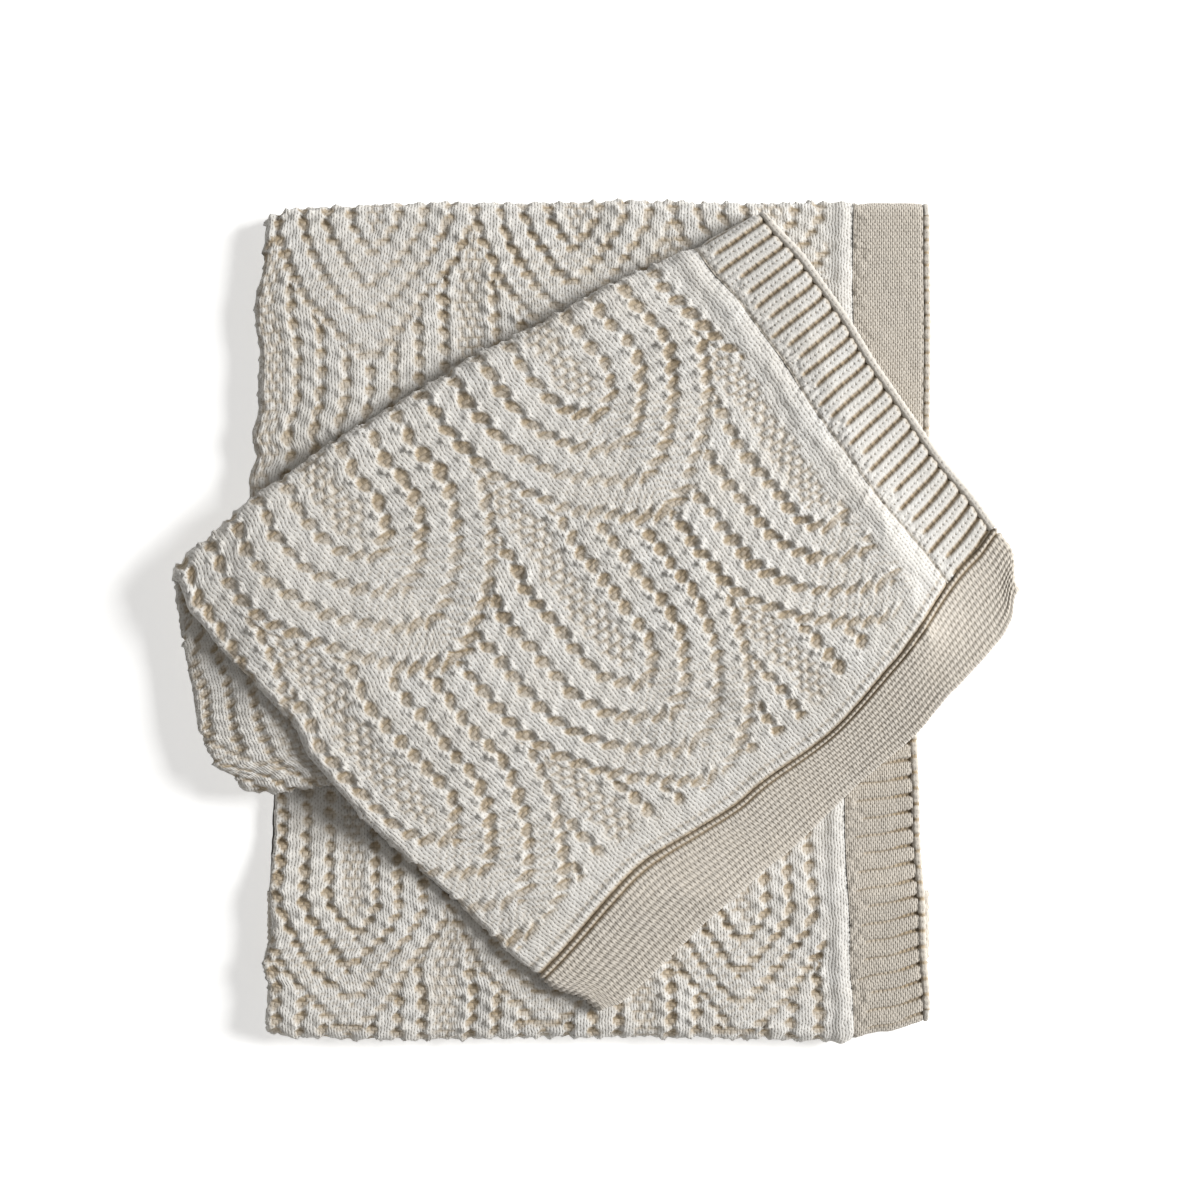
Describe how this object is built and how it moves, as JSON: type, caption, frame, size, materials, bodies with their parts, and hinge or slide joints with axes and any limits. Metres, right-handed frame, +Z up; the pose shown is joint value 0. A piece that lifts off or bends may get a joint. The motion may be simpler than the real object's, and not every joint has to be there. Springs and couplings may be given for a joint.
{
  "type": "folded throw blanket",
  "caption": "Knitted throw blanket folded double and zigzagged into a flat stack, one bordered end turned over on the top; the turned end and the upper half lift open.",
  "frame": {"origin": "middle of the footprint, on the surface the folded throw rests on", "axes": "+Z up out of the stack, +Y to the back fold, +X to the side with the open ribbed borders"},
  "size_m": [0.5861, 0.568, 0.0364],
  "materials": {
    "panel_knit": "patterned cotton knit, stockinette with recessed purl beads, heathered oatmeal, matt",
    "rib_border": "ribbed cotton knit, heathered oatmeal, matt",
    "garter_band": "garter-stitch cotton knit, fine ridges along the band, matt",
    "edge_chain": "bound-off chain of cotton yarn, matt"
  },
  "bodies": {
    "lower_layers": {"back_fold_border": "rib_border", "back_fold_panel": "panel_knit", "bottom_panel": "panel_knit", "bottom_top_border": "rib_border", "bottom_top_chain": "edge_chain", "bottom_under_border": "rib_border", "bottom_under_chain": "edge_chain", "front_bottom_fold_border": "rib_border", "front_bottom_fold_panel": "panel_knit", "tucked_end_band": "garter_band", "tucked_panel": "panel_knit", "tucked_top_border": "rib_border", "tucked_top_chain": "edge_chain", "tucked_under_border": "rib_border", "tucked_under_chain": "edge_chain"},
    "upper_layers": {"flap_fold_border": "rib_border", "flap_fold_panel": "panel_knit", "front_fold_border": "rib_border", "front_fold_panel": "panel_knit", "middle_panel": "panel_knit", "middle_top_border": "rib_border", "middle_top_chain": "edge_chain", "middle_under_border": "rib_border", "middle_under_chain": "edge_chain", "upper_panel": "panel_knit", "upper_top_border": "rib_border", "upper_top_chain": "edge_chain", "upper_under_border": "rib_border", "upper_under_chain": "edge_chain"},
    "flap": {"flap_end_band": "garter_band", "flap_panel": "panel_knit", "flap_top_border": "rib_border", "flap_top_chain": "edge_chain", "flap_under_border": "rib_border", "flap_under_chain": "edge_chain"}
  },
  "joints": [
    {"name": "back_fold", "type": "hinge", "parent": "lower_layers", "child": "upper_layers", "pos_m": [-0.002, 0.275, 0.009], "axis": [-1, 0, 0], "range_deg": [0, 60], "deforming": ["back_fold_panel", "back_fold_border"]},
    {"name": "flap_fold", "type": "hinge", "parent": "upper_layers", "child": "flap", "pos_m": [-0.08617, 0.14831, 0.0274], "axis": [-0.8541, -0.5201, 0], "range_deg": [0, 110], "deforming": ["flap_fold_panel", "flap_fold_border"]}
  ]
}
